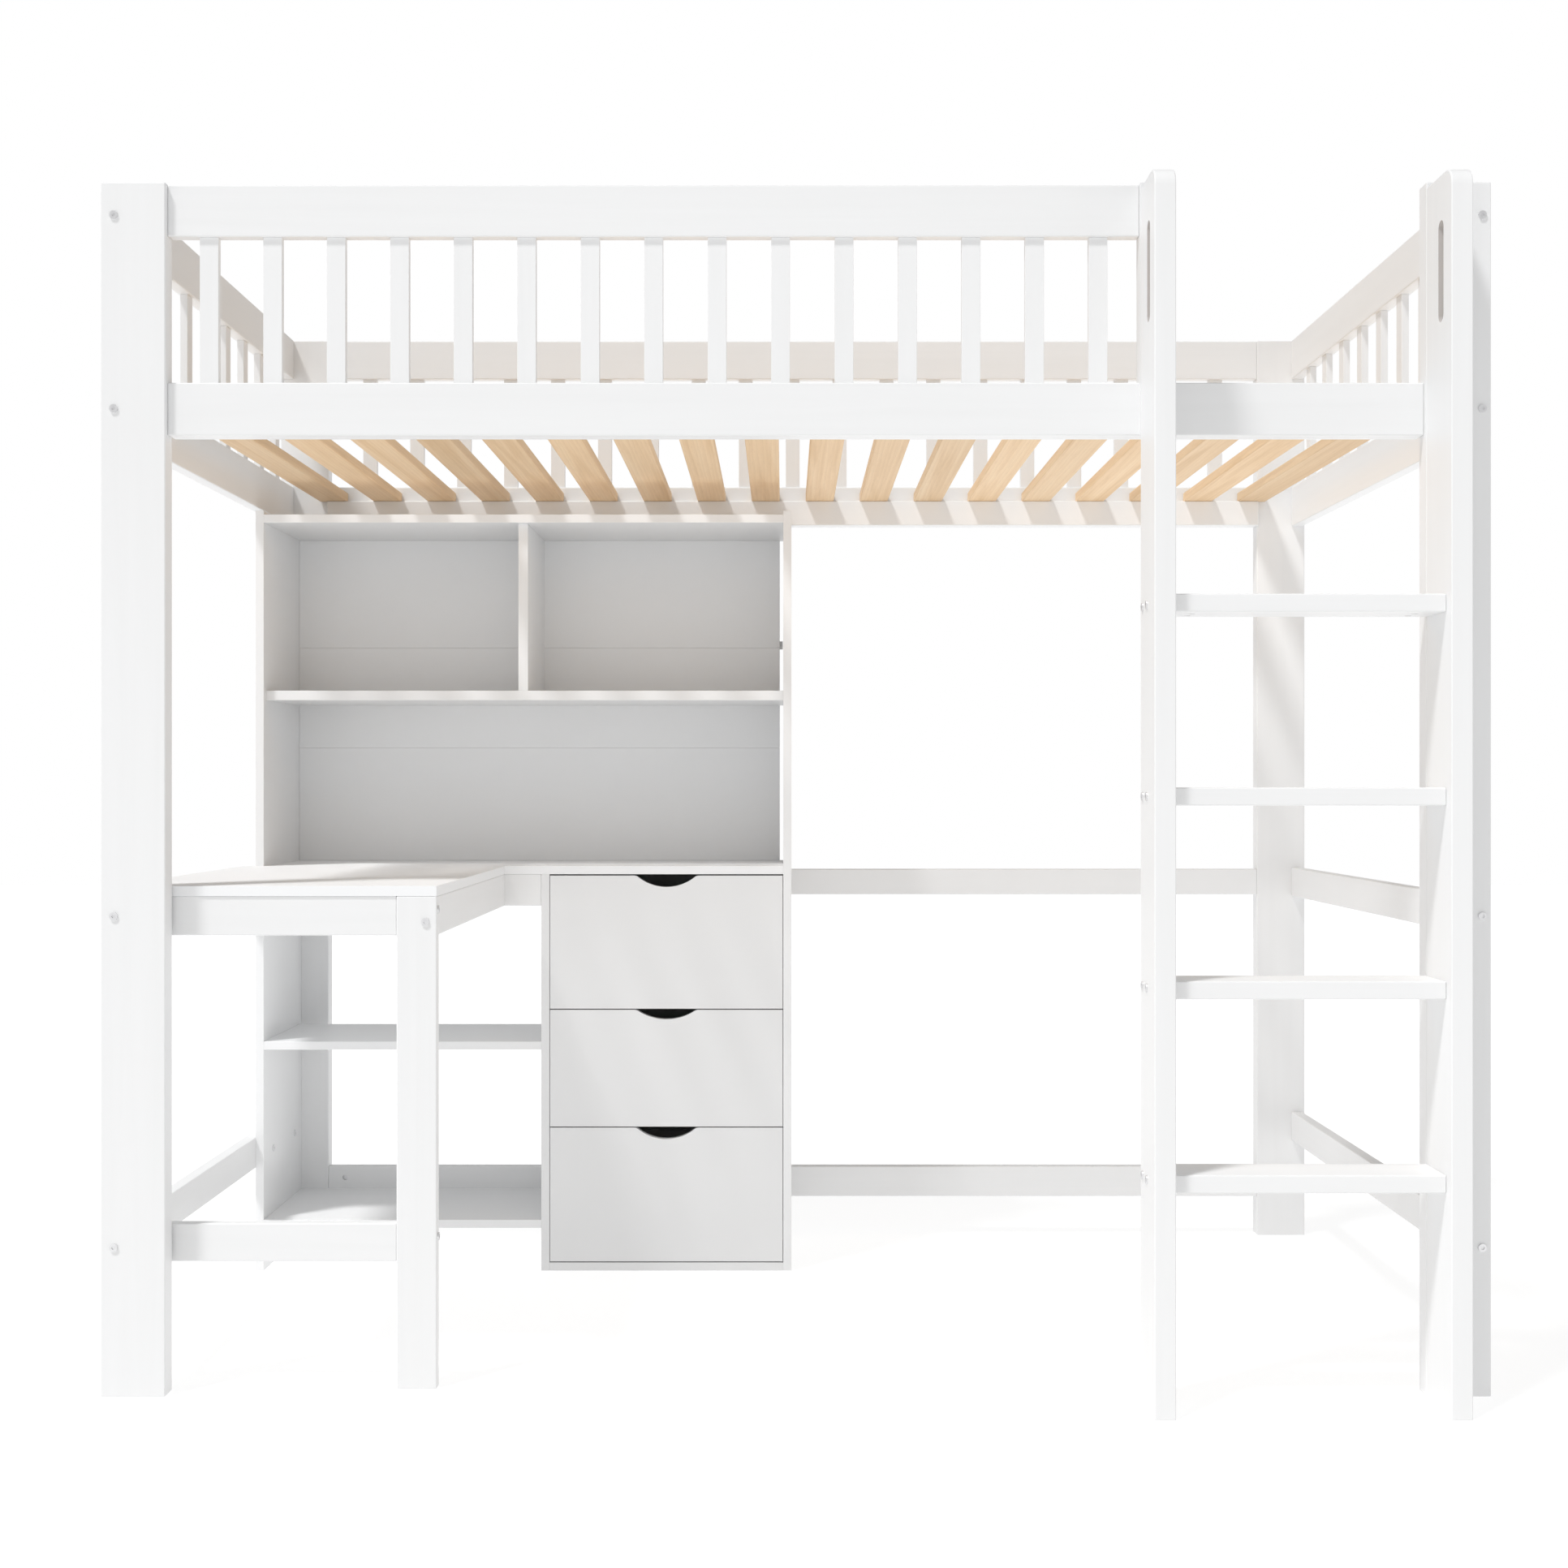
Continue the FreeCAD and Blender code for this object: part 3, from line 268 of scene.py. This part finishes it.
def bare_slat(name):
    """Planed, unpainted wood, grain across the bed, each slat its own shade."""
    make = Shader(name)
    along_bed = make.maths("ADD", make.split(make.coords)["X"], SLAT_COUNT_START)
    number = make.maths("FLOOR", make.maths("DIVIDE", along_bed, SLAT_PITCH))
    random = make.add("ShaderNodeTexWhiteNoise", noise_dimensions="1D")
    make.link(number, random.inputs["W"])
    shift = make.add("ShaderNodeCombineXYZ")
    make.link(make.maths("MULTIPLY", random.outputs["Value"], SLAT_SHIFT), shift.inputs["Y"])
    moved = make.add("ShaderNodeVectorMath", operation="ADD")
    make.link(make.coords, moved.inputs[0])
    make.link(shift.outputs["Vector"], moved.inputs[1])
    place = moved.outputs["Vector"]
    rings = make.noise(make.stretch((34.0, 1.1, 34.0), place), detail=3.0, rough=0.55, distort=1.4)
    pores = make.noise(make.stretch((700.0, 22.0, 700.0), place), rough=0.6)
    lines = make.add("ShaderNodeTexWave", wave_type="BANDS", bands_direction="X", wave_profile="SAW")
    make.link(make.stretch((1.0, 0.03, 1.0), place), lines.inputs["Vector"])
    lines.inputs["Scale"].default_value = 42.0
    lines.inputs["Distortion"].default_value = 6.0
    lines.inputs["Detail"].default_value = 3.0
    lines.inputs["Detail Scale"].default_value = 1.5
    lined = make.span(lines.outputs["Fac"], 0.0, 0.22)
    pored = make.span(pores, 0.0, 0.3, from_low=0.55, from_high=0.8)
    base = make.ramp(rings, [(0.3, SLAT_DARK), (0.5, SLAT_MIDDLE), (0.75, SLAT_PALE)])
    base = make.mix(lined, base, SLAT_LINE)
    base = make.mix(pored, base, SLAT_PORE)
    tinted = make.add("ShaderNodeHueSaturation")
    make.link(base, tinted.inputs["Color"])
    make.link(make.span(random.outputs["Value"], 0.92, 1.06), tinted.inputs["Value"])
    make.link(tinted.outputs["Color"], make.surface["Base Color"])
    make.link(make.span(rings, 0.5, 0.68), make.surface["Roughness"])
    make.bump([(lines.outputs["Fac"], 0.0002, 0.2), (pores, 0.00015, 0.35)])
    return make.material


def zinc(name, colour, rough):
    """Zinc-plated steel with fine turning marks and a little clouding."""
    make = Shader(name)
    cloud = make.noise(make.coords, scale=160.0, detail=3.0, rough=0.6)
    marks = make.noise(make.stretch((400.0, 400.0, 2600.0)))
    clouded = make.span(cloud, 0.0, 1.0, from_low=0.3, from_high=0.75)
    shade = tuple(value * ZINC_SHADE for value in colour)
    make.link(make.mix(clouded, colour, shade), make.surface["Base Color"])
    make.link(make.span(marks, rough - 0.08, rough + 0.1), make.surface["Roughness"])
    make.surface["Metallic"].default_value = 1.0
    make.bump([(marks, 0.00002, 0.2)])
    return make.material


def floor_white(name):
    """A pale floor that glows enough to be as white as the surround."""
    make = Shader(name)
    cloud = make.noise(make.coords, scale=0.7)
    make.link(make.ramp(cloud, [(0.3, FLOOR_DARK), (0.7, FLOOR_PALE)]), make.surface["Base Color"])
    make.surface["Roughness"].default_value = 0.9
    make.feed(WHITE, make.surface["Emission Color"])
    make.surface["Emission Strength"].default_value = FLOOR_GLOW
    return make.material


# ---------------------------------------------- which material each piece has

# Painted pieces by the axis their grain runs along; the ones not listed stand upright
GRAIN_X = ["front_side_rail", "rear_side_rail", "slat_ledgers", "front_guard_rail", "rear_guard_rail",
           "rear_upper_stretcher", "rear_lower_stretcher", "ladder_steps", "desk_front_apron",
           "desk_foot_rail", "desk_rear_apron"]
GRAIN_Y = ["left_end_guard_rail", "left_end_side_rail", "left_end_stretchers", "right_end_guard_rail",
           "right_end_side_rail", "right_end_stretchers", "desk_side_apron"]
LADDER = ["ladder_left_side", "ladder_right_side"]
DESK_TOPS = ["desk_return_top", "unit_desk_shelf"]
FRONTS = ["top_drawer_front", "middle_drawer_front", "bottom_drawer_front"]
BOARDS = ("unit_", "hutch_")
BOLTS = ["connector_bolts", "ladder_step_bolts", "barrel_nuts"]
SCREWS = ["slat_screws", "panel_screws"]


def material_for(node, kinds):
    if node in GRAIN_X:
        return kinds["paint_x"]
    if node in GRAIN_Y:
        return kinds["paint_y"]
    if node in LADDER:
        return kinds["ladder"]
    if node in DESK_TOPS:
        return kinds["desk"]
    if node in FRONTS or node.startswith("cabinet_"):
        return kinds["front"]
    if node == "bed_slats":
        return kinds["slat"]
    if node in BOLTS:
        return kinds["bolt"]
    if node in SCREWS:
        return kinds["screw"]
    if node == "runner_channels" or node.endswith("_runners"):
        return kinds["runner"]
    if node.startswith(BOARDS) or node.endswith("_drawer_box"):
        return kinds["foil"]
    return kinds["paint_z"]


def dress_nodes():
    kinds = {
        "paint_x": painted_wood("paint_x", 0),
        "paint_y": painted_wood("paint_y", 1),
        "paint_z": painted_wood("paint_z", 2),
        "ladder": painted_wood("paint_ladder", 2, slots=True),
        "foil": foil_panel("foil", FOIL, 0.34),
        # painted light: a paler copy of the foil for the desk tops
        "desk": foil_panel("desk_foil", LIT_DESK_FOIL, 0.5),
        # painted shade: a darker copy of the foil for the drawer fronts and cabinet
        "front": foil_panel("drawer_foil", SHADED_FRONT_FOIL, 0.38),
        "slat": bare_slat("bare_slat"),
        "bolt": zinc("zinc_bolt", ZINC, 0.42),
        "screw": zinc("zinc_screw", SCREW_ZINC, 0.4),
        "runner": zinc("runner_steel", RUNNER_STEEL, 0.4),
    }
    for name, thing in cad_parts.items():
        thing.data.materials.clear()
        thing.data.materials.append(material_for(name, kinds))


# --------------------------------------------------------- floor and lights

FLOOR_REACH = 14.0                           # from the middle to each edge
SKY_LOW = 0.90                               # strength at the horizon
SKY_HIGH = 0.30                              # strength overhead
KEY_HEADING = Vector((1.1, 1.0, -2.69))      # the way the key light travels
KEY_STRENGTH = 2.2
KEY_SPREAD = 8                               # degrees
FILL_HEADING = Vector((1.0, 0.12, -0.22))    # in from the left, nearly level
FILL_STRENGTH = 0.12
FILL_SPREAD = 60


def add_floor():
    mesh = bpy.data.meshes.new("floor")
    reach = FLOOR_REACH
    corners = [(-reach, -reach, 0), (reach, -reach, 0), (reach, reach, 0), (-reach, reach, 0)]
    mesh.from_pydata(corners, [], [(0, 1, 2, 3)])
    mesh.materials.append(floor_white("floor_white"))
    floor = bpy.data.objects.new("floor", mesh)
    scene.collection.objects.link(floor)


def add_world():
    """A white surround whose light comes mostly from low down, like a studio's walls."""
    world = bpy.data.worlds.new("studio")
    world.use_nodes = True
    make = Nodes(world.node_tree)
    direction = make.split(make.add("ShaderNodeTexCoord").outputs["Generated"])
    strength = make.span(make.maths("SQRT", direction["Z"]), SKY_LOW, SKY_HIGH)
    light = make.add("ShaderNodeBackground")
    make.feed(WHITE, light.inputs["Color"])
    make.link(strength, light.inputs["Strength"])
    shown = make.add("ShaderNodeBackground")
    make.feed(WHITE, shown.inputs["Color"])
    path = make.add("ShaderNodeLightPath")
    mixer = make.add("ShaderNodeMixShader")
    make.link(path.outputs["Is Camera Ray"], mixer.inputs["Fac"])
    make.link(light.outputs["Background"], mixer.inputs[1])
    make.link(shown.outputs["Background"], mixer.inputs[2])
    output = make.add("ShaderNodeOutputWorld")
    make.link(mixer.outputs["Shader"], output.inputs["Surface"])
    scene.world = world


def add_sun(name, heading, strength, spread):
    data = bpy.data.lights.new(name, "SUN")
    data.energy = strength
    data.angle = math.radians(spread)
    lamp = bpy.data.objects.new(name, data)
    lamp.rotation_euler = heading.to_track_quat("-Z", "Y").to_euler()
    scene.collection.objects.link(lamp)


def add_light():
    add_world()
    add_sun("key", KEY_HEADING, KEY_STRENGTH, KEY_SPREAD)
    add_sun("fill", FILL_HEADING, FILL_STRENGTH, FILL_SPREAD)
    scene.view_settings.view_transform = "Standard"
    scene.view_settings.look = "None"


add_camera()
dress_nodes()
add_floor()
add_light()
